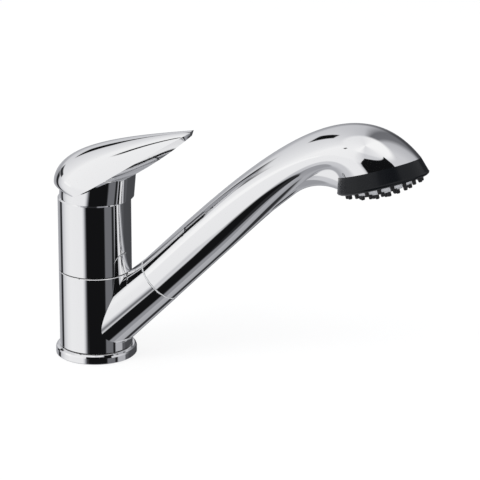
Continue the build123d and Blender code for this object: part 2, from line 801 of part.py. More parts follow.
save(in_head(nozzle_mat()), "nozzle_mat")
save(in_head(head_seal()), "head_seal")
save(in_hand(spray_chamber()), "spray_chamber")
save(spindle_turret(), "spindle_turret")
save(pivot_pin(), "pivot_pin")
save(upper_disc(), "upper_disc")
save(disc_carrier(), "disc_carrier")
save(lever_stem(), "lever_stem")
save(lever(), "lever")
save(lever_screw(), "lever_screw")
save(index_plug(), "index_plug")
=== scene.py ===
import json
from math import cos, pi, radians, sin, sqrt, tan

import bmesh
import bpy
from mathutils import Matrix, Vector


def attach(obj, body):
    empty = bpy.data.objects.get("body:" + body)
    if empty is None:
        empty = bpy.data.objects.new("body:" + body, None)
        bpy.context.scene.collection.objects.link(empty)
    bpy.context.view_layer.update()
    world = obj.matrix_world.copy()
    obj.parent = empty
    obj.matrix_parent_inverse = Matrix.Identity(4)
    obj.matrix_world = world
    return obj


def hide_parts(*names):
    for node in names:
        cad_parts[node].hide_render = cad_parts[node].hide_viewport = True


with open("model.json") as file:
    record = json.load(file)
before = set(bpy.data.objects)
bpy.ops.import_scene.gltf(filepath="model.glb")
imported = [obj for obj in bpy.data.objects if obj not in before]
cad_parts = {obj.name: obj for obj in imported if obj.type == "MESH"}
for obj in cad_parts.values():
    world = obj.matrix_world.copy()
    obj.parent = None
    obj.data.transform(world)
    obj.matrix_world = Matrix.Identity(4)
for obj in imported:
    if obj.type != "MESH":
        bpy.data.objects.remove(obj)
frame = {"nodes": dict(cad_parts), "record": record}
nodes = frame["nodes"]
scene = bpy.context.scene
scene.view_settings.view_transform = "Standard"
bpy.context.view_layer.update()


def axes_at(origin, x, y, z):
    """Place with its axes along three directions."""
    return Matrix.Translation(origin) @ Matrix((x, y, z)).transposed().to_4x4()


# Sizes shared with the CAD, in millimetres
BODY_R = 22.0
BORE_R = 19.25           # bore of the swivelling sleeve
WASHER_R = 20.7          # counterbore at each end of the sleeve
WASHER_DEPTH = 1.15
SLEEVE_LOW = 5.7
SLEEVE_TOP = 53.3
EDGE = 0.5               # chamfer at the sleeve's foot
SPIGOT_BORE = 10.45      # bore of the socket's bush
BUSH_R = 12.35
BUSH_L = 19.0            # with its ring
HAND_WALL = 2.2
HEAD_R = 24.54
RING_H = 8.1             # black ring of the head
RING_FLARE = radians(17)

# Socket, on an axis that rises from the column's axis
RISE = radians(44.5)
AXIS_FOOT = Vector((0, 0, 10.3))
SOCKET_AXIS = Vector((cos(RISE), 0, sin(RISE)))
SPRAY_SIDE = Vector((sin(RISE), 0, -cos(RISE)))
ACROSS = Vector((0, 1, 0))
DOCK_U = 59.5            # docking face, along the axis
DOCK_PLACE = axes_at(AXIS_FOOT + SOCKET_AXIS * DOCK_U, SPRAY_SIDE, ACROSS, SOCKET_AXIS)

# Handset, up its own axis from the docking face, with the spray side towards +X
HAND_TURN = radians(-8.5)
HAND_PLACE = DOCK_PLACE @ Matrix.Rotation(HAND_TURN, 4, "Z")

# Head, down the spray axis from the shell's rim
HEAD = Vector((35.3, 0, 158.3))
SPRAY = radians(26.4)
HEAD_DOWN = Vector((cos(SPRAY), 0, -sin(SPRAY)))
HEAD_OUT = Vector((sin(SPRAY), 0, cos(SPRAY)))
HEAD_PLACE = axes_at(HEAD, HEAD_OUT, -ACROSS, HEAD_DOWN)


# Camera, at the photograph's angle. Lengths are in metres.

VIEW_TURN = radians(20)
VIEW_DOWN = radians(19)
RIGHT = Vector((cos(VIEW_TURN), sin(VIEW_TURN), 0))
UP = Vector((-sin(VIEW_TURN) * sin(VIEW_DOWN), cos(VIEW_TURN) * sin(VIEW_DOWN), cos(VIEW_DOWN)))
AWAY = Vector((-sin(VIEW_TURN) * cos(VIEW_DOWN), cos(VIEW_TURN) * cos(VIEW_DOWN), -sin(VIEW_DOWN)))
VIEW_DISTANCE = 2.0
MIDDLE = Vector((0, 0, 0.07)) + RIGHT * 0.087 + UP * 0.0009


def make_camera():
    data = bpy.data.cameras.new("view")
    data.lens = 250
    data.sensor_width = 36
    data.clip_start = 0.05
    data.clip_end = 20
    camera = bpy.data.objects.new("view", data)
    camera.matrix_world = axes_at(MIDDLE - AWAY * VIEW_DISTANCE, RIGHT, UP, -AWAY)
    scene.collection.objects.link(camera)
    scene.camera = camera


# Node helpers

MIX_A, MIX_B, MIX_OUT = 6, 7, 2     # colour sockets of a mix node


def wire(tree, value, socket):
    """Link a socket, or set a plain value."""
    if isinstance(value, bpy.types.NodeSocket):
        tree.links.new(value, socket)
    else:
        socket.default_value = value


def calc(tree, operation, *values):
    node = tree.nodes.new("ShaderNodeMath")
    node.operation = operation
    for socket, value in zip(node.inputs, values):
        wire(tree, value, socket)
    return node.outputs[0]


def span(tree, value, low, high, before=0.0, after=1.0):
    """Smooth step from one value to another."""
    node = tree.nodes.new("ShaderNodeMapRange")
    node.interpolation_type = "SMOOTHSTEP"
    wire(tree, value, node.inputs["Value"])
    node.inputs["From Min"].default_value = low
    node.inputs["From Max"].default_value = high
    node.inputs["To Min"].default_value = before
    node.inputs["To Max"].default_value = after
    return node.outputs["Result"]


def band(tree, value, low, high, low_soft, high_soft):
    """1 between two limits, with a soft edge at each."""
    rise = span(tree, value, low - low_soft, low + low_soft)
    fall = span(tree, value, high - high_soft, high + high_soft, 1.0, 0.0)
    return calc(tree, "MULTIPLY", rise, fall)


def blend(tree, amount, a, b):
    """Mix of two colours."""
    node = tree.nodes.new("ShaderNodeMix")
    node.data_type = "RGBA"
    wire(tree, amount, node.inputs[0])
    wire(tree, a, node.inputs[MIX_A])
    wire(tree, b, node.inputs[MIX_B])
    return node.outputs[MIX_OUT]


def linear(shade):
    """Screen shade from 0 to 255 as a linear value."""
    value = shade / 255
    return value / 12.92 if value < 0.04045 else ((value + 0.055) / 1.055) ** 2.4


# Studio: white surroundings with dark flags, seen only in reflections

# Azimuth is in degrees to the right of the camera, and elevation in degrees above the horizon
CAMERA_AZIMUTH = -70     # direction towards the camera, from +X
CHROME_REFLECTS = 0.9
DARK_BLUE = 0.12         # how much more blue, and more green, a dark panel has
DARK_GREEN = 0.02
AMBIENT = (0.62, 0.625, 0.635, 1)

# (place to the right of the camera, shade that chrome shows), for the row at and below the horizon
LOW_PANELS = [
    (-180, 146), (-165, 174), (-136, 150), (-134, 40), (-122, 40), (-119, 190), (-98, 225), (-82, 232),
    (-38, 230), (-33, 204), (-28, 120), (-24, 18), (32, 18), (35, 105), (56, 105), (58, 28), (64, 28),
    (67, 170), (91, 170), (94, 84), (104, 84), (107, 70), (165, 66), (180, 146),
]
HIGH_PANELS = [
    (-180, 190), (-150, 205), (-105, 226), (-90, 238), (-40, 234), (-18, 200), (40, 206), (110, 200),
    (140, 180), (150, 110), (163, 105), (174, 185), (180, 190),
]
ZENITH_PANELS = [
    (-180, 225), (-60, 235), (-34, 248), (-16, 218), (0, 220), (30, 228), (50, 238), (80, 250), (140, 250),
    (180, 225),
]
DEEP_PANELS = [
    (-180, 160), (-140, 165), (-100, 195), (-60, 200), (-46, 182), (-42, 30), (-38, 18), (22, 18), (30, 120),
    (50, 175), (100, 185), (129, 160), (135, 45), (152, 45), (158, 165), (180, 160),
]
NADIR_PANELS = [
    (-180, 150), (-60, 150), (-46, 140), (-40, 42), (14, 42), (24, 140), (56, 140), (68, 170), (110, 165),
    (180, 150),
]
# (panels, elevations between which they fade, how much of them shows below and above)
PANEL_ROWS = [
    (HIGH_PANELS, 6, 18, 0, 1),
    (ZENITH_PANELS, 55, 63, 0, 1),
    (DEEP_PANELS, -40, -30, 1, 0),
    (NADIR_PANELS, -66, -60, 1, 0),
]
# (azimuth from, to, elevation from, to, shade, softness of the sides, of the foot, of the top)
PATCHES = [
    (-152, -139, 29, 46, 14, 1.2, 1.2, 1.2),
    (-137, -111, 12, 20, 45, 1.5, 1.5, 1.5),
    (-94, -74, 8, 14, 250, 1.5, 1.5, 1.5),
    (-31, 8, -12, 7, 16, 1.2, 1.2, 1.2),
    (-77, -70.5, 52.5, 58, 5, 0.8, 0.8, 0.8),
    (-34, -19.5, -36, -25, 205, 1.2, 2, 5),    # makes the dark panel's left edge lean to the right
]

# Dark flag over the camera, whose top edge climbs to the right along the lower of two lines
FLAG_SIDES = (-31.0, 46.0)
FLAG_SIDE_SOFT = 1.5
FLAG_FOOT = (2.0, 5.0)
FLAG_TOP_LINES = ((2.4, 88.4), (0.36, 47.0))    # (slope, elevation over the camera)
FLAG_TOP_SOFT = 1.0
FLAG_SHADE = 16


def studio_grey(shade):
    """Colour of a studio panel that chrome shows as this shade, a little blue where it is dark."""
    value = min(linear(shade) / CHROME_REFLECTS, 1.0)
    dark = 1 - value
    return (value, value * (1 + DARK_GREEN * dark), min(value * (1 + DARK_BLUE * dark), 1.0), 1)


def ramp(tree, share, panels):
    """Colours of a row of panels along a share of the turn."""
    node = tree.nodes.new("ShaderNodeValToRGB")
    elements = node.color_ramp.elements
    while len(elements) > 1:
        elements.remove(elements[-1])
    for i, (place, shade) in enumerate(panels):
        at = (place + 180) / 360
        element = elements[0] if i == 0 else elements.new(at)
        element.position = at
        element.color = studio_grey(shade)
    wire(tree, share, node.inputs[0])
    return node.outputs[0]


def directions(tree):
    """A ray's azimuth as a share of the turn, then its azimuth and its elevation."""
    coords = tree.nodes.new("ShaderNodeTexCoord")
    parts = tree.nodes.new("ShaderNodeSeparateXYZ")
    tree.links.new(coords.outputs["Generated"], parts.inputs[0])
    x, y, z = parts.outputs
    turn = calc(tree, "ARCTAN2", y, x)
    share = calc(tree, "FRACT", calc(tree, "MULTIPLY_ADD", turn, 0.5 / pi, 1.5 - CAMERA_AZIMUTH / 360))
    azimuth = calc(tree, "MULTIPLY_ADD", share, 360.0, -180.0)
    elevation = calc(tree, "MULTIPLY", calc(tree, "ARCSINE", z), 180 / pi)
    return share, azimuth, elevation


def flag_over_camera(tree, azimuth, elevation):
    lines = [calc(tree, "MULTIPLY_ADD", azimuth, slope, middle) for slope, middle in FLAG_TOP_LINES]
    below = calc(tree, "SUBTRACT", calc(tree, "MINIMUM", *lines), elevation)
    top = span(tree, below, -FLAG_TOP_SOFT, FLAG_TOP_SOFT)
    ends = calc(tree, "MULTIPLY", top, span(tree, elevation, *FLAG_FOOT))
    sides = band(tree, azimuth, *FLAG_SIDES, FLAG_SIDE_SOFT, FLAG_SIDE_SOFT)
    return calc(tree, "MULTIPLY", ends, sides)


def studio_colour(tree):
    share, azimuth, elevation = directions(tree)
    colour = ramp(tree, share, LOW_PANELS)
    for panels, low, high, before, after in PANEL_ROWS:
        shown = span(tree, elevation, low, high, before, after)
        colour = blend(tree, shown, colour, ramp(tree, share, panels))
    for left, right, foot, top, shade, side_soft, foot_soft, top_soft in PATCHES:
        sides = band(tree, azimuth, left, right, side_soft, side_soft)
        ends = band(tree, elevation, foot, top, foot_soft, top_soft)
        colour = blend(tree, calc(tree, "MULTIPLY", sides, ends), colour, studio_grey(shade))
    return blend(tree, flag_over_camera(tree, azimuth, elevation), colour, studio_grey(FLAG_SHADE))


def make_world():
    """Panels for what chrome mirrors, white for what the camera sees, plain grey for all other light."""
    world = bpy.data.worlds.new("studio")
    scene.world = world
    world.use_nodes = True
    tree = world.node_tree
    tree.nodes.clear()
    panels = tree.nodes.new("ShaderNodeBackground")
    tree.links.new(studio_colour(tree), panels.inputs["Color"])
    plain = tree.nodes.new("ShaderNodeBackground")
    plain.inputs["Color"].default_value = AMBIENT
    white = tree.nodes.new("ShaderNodeBackground")
    white.inputs["Color"].default_value = (1, 1, 1, 1)
    path = tree.nodes.new("ShaderNodeLightPath")
    shader = plain.outputs[0]
    for ray, other in (("Is Glossy Ray", panels), ("Is Transmission Ray", white), ("Is Camera Ray", white)):
        mix = tree.nodes.new("ShaderNodeMixShader")
        tree.links.new(path.outputs[ray], mix.inputs[0])
        tree.links.new(shader, mix.inputs[1])
        tree.links.new(other.outputs[0], mix.inputs[2])
        shader = mix.outputs[0]
    out = tree.nodes.new("ShaderNodeOutputWorld")
    tree.links.new(shader, out.inputs["Surface"])


# Lamps and floor. Lengths are in metres.

LAMP_SIZE = 1.0
FLOOR_REACH = 6.0
FLOOR_DROP = 0.0002      # keeps the floor clear of the tap's foot
FLOOR_GREY = 0.8         # what the floor gives back to the tap
FLOOR_SEEN_GREY = 0.3    # what the camera sees: a grey that takes shadows, and a glow that makes it white
FLOOR_GLOW = 0.78


def make_lamp(name, place, power):
    """Soft square lamp aimed at the middle of the tap."""
    data = bpy.data.lights.new(name, "AREA")
    data.size = LAMP_SIZE
    data.energy = power
    lamp = bpy.data.objects.new(name, data)
    aim = (MIDDLE - Vector(place)).normalized()
    lamp.matrix_world = Matrix.Translation(place) @ aim.to_track_quat("-Z", "Y").to_matrix().to_4x4()
    lamp.visible_glossy = False
    lamp.visible_camera = False
    scene.collection.objects.link(lamp)


def diffuse(tree, grey):
    node = tree.nodes.new("ShaderNodeBsdfDiffuse")
    node.inputs["Color"].default_value = (grey, grey, grey, 1)
    return node.outputs[0]


def floor_material():
    material = bpy.data.materials.new("floor")
    material.use_nodes = True
    tree = material.node_tree
    tree.nodes.clear()
    glow = tree.nodes.new("ShaderNodeEmission")
    glow.inputs["Strength"].default_value = FLOOR_GLOW
    seen = tree.nodes.new("ShaderNodeAddShader")
    tree.links.new(diffuse(tree, FLOOR_SEEN_GREY), seen.inputs[0])
    tree.links.new(glow.outputs[0], seen.inputs[1])
    path = tree.nodes.new("ShaderNodeLightPath")
    mix = tree.nodes.new("ShaderNodeMixShader")
    tree.links.new(path.outputs["Is Camera Ray"], mix.inputs[0])
    tree.links.new(diffuse(tree, FLOOR_GREY), mix.inputs[1])
    tree.links.new(seen.outputs[0], mix.inputs[2])
    out = tree.nodes.new("ShaderNodeOutputMaterial")
    tree.links.new(mix.outputs[0], out.inputs["Surface"])
    return material


def make_floor():
    mesh = bpy.data.meshes.new("floor")
    corners = [(x * FLOOR_REACH, y * FLOOR_REACH, 0) for x, y in ((-1, -1), (1, -1), (1, 1), (-1, 1))]
    mesh.from_pydata(corners, [], [(0, 1, 2, 3)])
    floor = bpy.data.objects.new("floor", mesh)
    scene.collection.objects.link(floor)
    floor.visible_glossy = False
    floor.location.z = -FLOOR_DROP
    mesh.materials.append(floor_material())


# Materials

FINE_SHARE = 0.5         # weight of the fine noise in the polish

# Cloud and grain are in steps per metre, and bump_depth is in metres
FINISHES = {
    "chrome": dict(colour=(0.9, 0.9, 0.905), rough=0.035, metal=1.0, shade_spread=0.006, rough_spread=0.02,
                   cloud=35, grain=500, bump=0.02, bump_depth=4e-6),
    "black_gloss": dict(colour=(0.006, 0.007, 0.009), rough=0.22, shade_spread=0.2, rough_spread=0.06,
                        cloud=80, bump=0.12, specular=0.22),
    "pale_plastic": dict(colour=(0.72, 0.73, 0.76), rough=0.38, grain=3000),
    "ring_plastic": dict(colour=(0.78, 0.79, 0.8), rough=0.4, grain=3000),
    "black_rubber": dict(colour=(0.02, 0.02, 0.022), rough=0.55, shade_spread=0.25, rough_spread=0.12,
                         cloud=120, grain=1800, bump=0.25, bump_depth=2e-5),
    "white_plastic": dict(colour=(0.75, 0.75, 0.74), rough=0.42, rough_spread=0.1),
    "ceramic": dict(colour=(0.82, 0.81, 0.77), rough=0.22, shade_spread=0.02, rough_spread=0.05,
                    cloud=120, grain=4000, bump=0.08, bump_depth=6e-6),
    "brass": dict(colour=(0.72, 0.53, 0.26), rough=0.3, metal=1.0, shade_spread=0.06, rough_spread=0.14,
                  cloud=60, grain=1500, bump=0.2, stretch=(1, 1, 8)),
    "steel": dict(colour=(0.6, 0.6, 0.59), rough=0.28, metal=1.0, shade_spread=0.05, rough_spread=0.12,
                  cloud=70, grain=1600, bump=0.2, stretch=(1, 1, 8)),
    "grey_plastic": dict(colour=(0.3, 0.31, 0.32), rough=0.42, shade_spread=0.05, rough_spread=0.1),
    "index": dict(colour=(0.2, 0.21, 0.22), rough=0.3, shade_spread=0.05, bump=0.1),
}


def noise(tree, scale, detail, roughness, stretch=None):
    """Noise in the object's own coordinates."""
    coords = tree.nodes.new("ShaderNodeTexCoord").outputs["Object"]
    if stretch:
        mapping = tree.nodes.new("ShaderNodeMapping")
        mapping.inputs["Scale"].default_value = stretch
        tree.links.new(coords, mapping.inputs["Vector"])
        coords = mapping.outputs["Vector"]
    node = tree.nodes.new("ShaderNodeTexNoise")
    tree.links.new(coords, node.inputs["Vector"])
    node.inputs["Scale"].default_value = scale
    node.inputs["Detail"].default_value = detail
    node.inputs["Roughness"].default_value = roughness
    return node.outputs[0]


def surface(name, colour, rough, metal=0.0, shade_spread=0.03, rough_spread=0.08, cloud=90, grain=2500,
            bump=0.15, bump_depth=1e-5, stretch=None, specular=0.5):
    """Finish with a slow change of shade, a finer one of polish and a fine relief; by default a plastic."""
    material = bpy.data.materials.new(name)
    material.use_nodes = True
    tree = material.node_tree
    shader = tree.nodes["Principled BSDF"]
    shader.inputs["Metallic"].default_value = metal
    shader.inputs["Specular IOR Level"].default_value = specular
    slow = noise(tree, cloud, detail=2.0, roughness=0.5)
    darker = tuple(c * (1 - shade_spread) for c in colour) + (1,)
    lighter = tuple(min(c * (1 + shade_spread), 1.0) for c in colour) + (1,)
    tree.links.new(blend(tree, slow, darker, lighter), shader.inputs["Base Color"])
    fine = noise(tree, grain, detail=4.0, roughness=0.6, stretch=stretch)
    both = calc(tree, "ADD", slow, calc(tree, "MULTIPLY", fine, FINE_SHARE))
    smoothest = rough - rough_spread * (1 + FINE_SHARE) / 2
    tree.links.new(calc(tree, "MULTIPLY_ADD", both, rough_spread, smoothest), shader.inputs["Roughness"])
    relief = tree.nodes.new("ShaderNodeBump")
    relief.inputs["Strength"].default_value = bump
    relief.inputs["Distance"].default_value = bump_depth
    tree.links.new(fine, relief.inputs["Height"])
    tree.links.new(relief.outputs["Normal"], shader.inputs["Normal"])
    return material


materials = {name: surface(name, **finish) for name, finish in FINISHES.items()}


def dress_nodes():
    """Every node takes the finish of its slot."""
    for part in frame["record"]["subparts"]:
        slots = nodes[part["node"]].data.materials
        slots.clear()
        slots.append(materials[part["material_slot"]])


# Pieces drawn here in place of CAD solids, closer to the photograph. Sizes are in millimetres.

METRES = Matrix.Scale(0.001, 4)
SHARP_ANGLE = radians(24)


def bezier(points, t):
    """Point on a cubic curve."""
    a, b, c, d = points
    s = 1 - t
    return a * s ** 3 + b * (3 * s * s * t) + c * (3 * s * t * t) + d * t ** 3


def between(a, b, count):
    """Points from a up to, but without, b."""
    return [a.lerp(b, i / count) for i in range(count)]


def mirrored(point):
    return Vector((point.x, -point.y, point.z))


def ring(centre, right, up, count):
    """Oval of points round a centre."""
    return [centre + right * cos(2 * pi * k / count) + up * sin(2 * pi * k / count) for k in range(count)]


def turned_rows(profile, count):
    """Rows about Z from (radius, height) points."""
    return [ring(Vector((0, 0, z)), Vector((r, 0, 0)), Vector((0, r, 0)), count) for r, z in profile]


def upright(r, low, high, count):
    """Rows of an upright cylinder."""
    return turned_rows([(r, low), (r, high)], count)


def moved(rows, place):
    return [[place @ p for p in row] for row in rows]


def skin(bm, rows, joined=False, keep=lambda centre: True):
    """Quads between closed rows of points; joined rows close on the first one, others get flat ends."""
    verts = [[bm.verts.new(p) for p in row] for row in rows]
    pairs = list(zip(verts, verts[1:]))
    if joined:
        pairs.append((verts[-1], verts[0]))
    else:
        bm.faces.new(verts[0][::-1])
        bm.faces.new(verts[-1])
    for low, high in pairs:
        for k in range(len(low)):
            n = (k + 1) % len(low)
            corners = (low[k], low[n], high[n], high[k])
            if keep(sum((v.co for v in corners), Vector()) / 4):
                bm.faces.new(corners)


def as_object(bm, name, place=Matrix()):
    """Smooth object from a mesh, which is used up."""
    bmesh.ops.recalc_face_normals(bm, faces=bm.faces)
    bm.transform(place)
    mesh = bpy.data.meshes.new(name)
    bm.to_mesh(mesh)
    bm.free()
    mesh.shade_smooth()
    shape = bpy.data.objects.new(name, mesh)
    scene.collection.objects.link(shape)
    return shape


def solid(name, rows):
    bm = bmesh.new()
    skin(bm, rows)
    return as_object(bm, name)


def combine(shape, operation, other):
    """Boolean of two meshes; the second is used up."""
    step = shape.modifiers.new(operation, "BOOLEAN")
    step.operation = operation
    step.solver = "EXACT"
    step.object = other
    bpy.context.view_layer.update()
    graph = bpy.context.evaluated_depsgraph_get()
    mesh = bpy.data.meshes.new_from_object(shape.evaluated_get(graph))
    shape.modifiers.clear()
    shape.data = mesh
    bpy.data.objects.remove(other)


def take_mesh(bm, shape):
    """Move an object's faces into a mesh."""
    bm.from_mesh(shape.data)
    bpy.data.objects.remove(shape)


def make_piece(bm, name, place, body, node, slot):
    """Finish a mesh as a piece that stands for a CAD node."""
    piece = as_object(bm, name, METRES @ place)
    piece.data.set_sharp_from_angle(angle=SHARP_ANGLE)
    piece.data.materials.append(materials[slot])
    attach(piece, body)
    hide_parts(node)


# Swivelling sleeve and the socket's boss. The photograph's boss and handset are fuller than the CAD's.

SEAM_EDGE = 0.3          # chamfer at the sleeve's top
WALL_STEP = 2            # height of the sleeve's quads, so that the boss can open into it
WALL_LEVELS = (20, 36)   # where the outer wall's even rows start anew
COLUMN_POINTS = 192
BOSS_POINTS = 160
BOSS_R = 15.0
BOSS_ROOT_FOOT = Vector((0, 0, 9.25))   # lower than the socket's axis, as the photograph's handset sits
BOSS_ROOT_U = 3.0
BOSS_ROOT_R = 17.3       # in the upright plane
BOSS_ROOT_W = 20.2       # across
BOSS_ROOT_RISE = 2.3     # of the root's centre, square to the axis
BOSS_BEVEL = 0.25
BUSH_PLAY = 0.02         # between the boss and the bush
RING_T = 0.6             # pale ring between the boss and the handset
RING_INSET = 0.1
RING_EASE = 0.2
BORE_EASE = 0.4
BUSH_POINTS = 128


def meet_column(start, end, r):
    """Where the line from start to end leaves an upright cylinder."""
    way = end - start
    a = way.x ** 2 + way.y ** 2
    b = start.x * way.x + start.y * way.y
    c = start.x ** 2 + start.y ** 2 - r * r
    return start + way * ((sqrt(b * b - a * c) - b) / a)


def beside_socket(centre):
    """Whether a point lies outside the socket's bore."""
    off = centre - AXIS_FOOT
    along = off.dot(SOCKET_AXIS)
    return along < 0 or (off - SOCKET_AXIS * along).length > BUSH_R


def make_sleeve():
    """Turned sleeve with its oval boss, open down to the column."""
    low_seat, top_seat = SLEEVE_LOW + WASHER_DEPTH, SLEEVE_TOP - WASHER_DEPTH
    profile = [
        (WASHER_R, SLEEVE_LOW), (BODY_R - EDGE, SLEEVE_LOW), (BODY_R, SLEEVE_LOW + EDGE),
        *[(BODY_R, level) for level in WALL_LEVELS],
        (BODY_R, SLEEVE_TOP - SEAM_EDGE), (BODY_R - SEAM_EDGE, SLEEVE_TOP), (WASHER_R, SLEEVE_TOP),
        (WASHER_R, top_seat), (BORE_R, top_seat), (BORE_R, low_seat), (WASHER_R, low_seat),
    ]
    levels = []
    for (r0, z0), (r1, z1) in zip(profile, profile[1:] + profile[:1]):
        steps = max(1, round(abs(z1 - z0) / WALL_STEP))
        levels += [(r0 + (r1 - r0) * i / steps, z0 + (z1 - z0) * i / steps) for i in range(steps)]
    bm = bmesh.new()
    skin(bm, turned_rows(levels, COLUMN_POINTS), joined=True, keep=beside_socket)

    mouth_at = AXIS_FOOT + SOCKET_AXIS * (DOCK_U - RING_T)

    def mouth_ring(r):
        return ring(mouth_at, SPRAY_SIDE * r, ACROSS * r, BOSS_POINTS)

    root = ring(BOSS_ROOT_FOOT + SOCKET_AXIS * BOSS_ROOT_U - SPRAY_SIDE * BOSS_ROOT_RISE,
                SPRAY_SIDE * BOSS_ROOT_R, ACROSS * BOSS_ROOT_W, BOSS_POINTS)
    mouth, inner = mouth_ring(BOSS_R), mouth_ring(BUSH_R + BUSH_PLAY)
    middle_r = (BODY_R + BORE_R) / 2
    outer_root = [meet_column(a, b, middle_r) for a, b in zip(root, mouth)]
    inner_root = [meet_column(p - SOCKET_AXIS * DOCK_U, p, middle_r) for p in inner]
    eased = [p - SOCKET_AXIS * BOSS_BEVEL for p in mouth]
    skin(bm, [outer_root, eased, mouth_ring(BOSS_R - BOSS_BEVEL), inner, inner_root], joined=True)
    make_piece(bm, "sleeve_and_boss", Matrix(), "spout", "spout_sleeve", "chrome")


def make_bush():
    """Bush of the socket, whose flange shows as the pale ring under the handset."""
    ring_r = BOSS_R - RING_INSET
    profile = [
        (SPIGOT_BORE, -BUSH_L), (BUSH_R, -BUSH_L), (BUSH_R, -RING_T), (ring_r, -RING_T), (ring_r, -RING_EASE),
        (ring_r - RING_EASE, 0), (SPIGOT_BORE + BORE_EASE, 0), (SPIGOT_BORE, -BORE_EASE),
    ]
    bm = bmesh.new()
    skin(bm, turned_rows(profile, BUSH_POINTS), joined=True)
    make_piece(bm, "docking_bush", DOCK_PLACE, "spout", "socket_bush", "ring_plastic")


# Handset. Its lines start at the docking face, and an inset turns the shell into its hollow.

SIT = Vector((0.75, 0, -0.74))     # the photograph's handset sits a little lower than the CAD's
HAND_R = 14.85
HAND_FOOT_BORE = 11.7
HAND_GAP = 0.3           # between the ring and the shell's foot
WAIST_U = 40             # end of the straight foot
FOOT_ROWS = 6
FAN_ROWS = 56
HAND_POINTS = 128
ELBOW_R = 10.25
ELBOW_ROOT = Vector((2.3, 0, 81.6)) + SIT
ELBOW_START = Vector((3.7, 0, 105.6)) + SIT
ELBOW_END = Vector((25.04, 0, 139.76)) + SIT
ELBOW_ROWS = 40
ELBOW_POINTS = 96


def hand_rows(inset, foot_r):
    """Ovals from the foot to the rim, between the lines of the back and of the belly."""
    rim_r = HEAD_R - inset
    back = [Vector((inset - 16.1, 0, WAIST_U)) + SIT, Vector((inset - 16.5, 0, 141.2)) + SIT,
            Vector((-2.4, 0, 178.3)) + SIT - HEAD_OUT * inset, HEAD + HEAD_OUT * rim_r]
    belly = [Vector((13.4 - inset, 0, WAIST_U)) + SIT, Vector((13.2 - inset, 0, 80)) + SIT,
             Vector((9, 0, 143.8)) + SIT + HEAD_OUT * inset, HEAD - HEAD_OUT * rim_r]
    widths = [w - inset for w in (14.2, 13.9, HEAD_R + 3.8, HEAD_R)]
    foot = (Vector((-foot_r, 0, HAND_GAP)), Vector((foot_r, 0, HAND_GAP)), foot_r)
    waist = (back[0], belly[0], widths[0])
    ovals = []
    for i in range(FOOT_ROWS):
        t = i / FOOT_ROWS
        ovals.append([a * (1 - t) + b * t for a, b in zip(foot, waist)])
    for i in range(FAN_ROWS + 1):
        ovals.append([bezier(line, i / FAN_ROWS) for line in (back, belly, widths)])
    return [ring((a + b) / 2, (b - a) / 2, ACROSS * w, HAND_POINTS) for a, b, w in ovals]


def elbow_rows():
    """Round root of the neck: a straight lead, then an arc that leaves it smoothly."""
    lead = (ELBOW_START - ELBOW_ROOT).normalized()
    out = Vector((lead.z, 0, -lead.x))
    chord = ELBOW_END - ELBOW_START
    bend_r = chord.length_squared / (2 * chord.dot(out))
    turn = 2 * lead.angle(chord)
    rows = [ring(ELBOW_ROOT, out * ELBOW_R, ACROSS * ELBOW_R, ELBOW_POINTS)]
    for i in range(ELBOW_ROWS + 1):
        a = turn * i / ELBOW_ROWS
        centre = ELBOW_START + out * (bend_r * (1 - cos(a))) + lead * (bend_r * sin(a))
        side = out * cos(a) - lead * sin(a)
        rows.append(ring(centre, side * ELBOW_R, ACROSS * ELBOW_R, ELBOW_POINTS))
    return rows


def make_handset():
    """Hollow shell, and the elbow cut off where the head's ring begins."""
    bm = bmesh.new()
    skin(bm, hand_rows(0, HAND_R) + hand_rows(HAND_WALL, HAND_FOOT_BORE)[::-1], joined=True)
    elbow = solid("elbow", elbow_rows())
    cone = [(HEAD_R + drop * tan(RING_FLARE), drop) for drop in (0, 2 * RING_H)]
    ring_space = moved(turned_rows(cone, COLUMN_POINTS), HEAD_PLACE)
    combine(elbow, "DIFFERENCE", solid("ring_space", ring_space))
    take_mesh(bm, elbow)
    make_piece(bm, "handset_body", HAND_PLACE, "handset", "handset_shell", "chrome")


# Spray face, down the spray axis from the shell's rim

FACE_R = 23.6
FACE_T = 1.6
FACE_DROP = 10.2         # edge of the face below the rim
FACE_CROWN = 4.9
MAT_T = 1.5
MAT_INSET = 0.3
DISC_BEVEL = 0.25
DISC_CENTRE_R = 0.3
DISC_ROWS = 30
DISC_POINTS = 128
NOZZLE_PITCH = 7.3
NOZZLE_COUNTS = (1, 6, 12, 18)
NOZZLE_TWIST = radians(51.2)       # from one circle of nozzles to the next
NOZZLE_POINTS = 24
# (radius, how far it stands out of the face)
NOZZLE = [(1.35, -1.5), (1.22, 0.8), (1.24, 1.7), (1.12, 2.2), (0.8, 2.5), (0.5, 2.5), (0.44, 2.0)]


def crown_at(r):
    """Level of the crowned face at a radius."""
    sphere_r = (FACE_R ** 2 + FACE_CROWN ** 2) / (2 * FACE_CROWN)
    return FACE_DROP + FACE_CROWN - sphere_r + sqrt(sphere_r ** 2 - r ** 2)


def crowned_disc(r, offset, thickness):
    """Rows of a crowned disc whose outer side lies at an offset from the crowned face."""
    reach = r - DISC_BEVEL - DISC_CENTRE_R
    radii = [DISC_CENTRE_R + reach * i / DISC_ROWS for i in range(DISC_ROWS + 1)]
    rows = [(x, crown_at(x) + offset) for x in radii]
    rows += [(r, crown_at(r) + offset - DISC_BEVEL), (r, crown_at(r) + offset - thickness)]
    rows += [(x, crown_at(x) + offset - thickness) for x in radii[::-1]]
    return turned_rows(rows, DISC_POINTS)


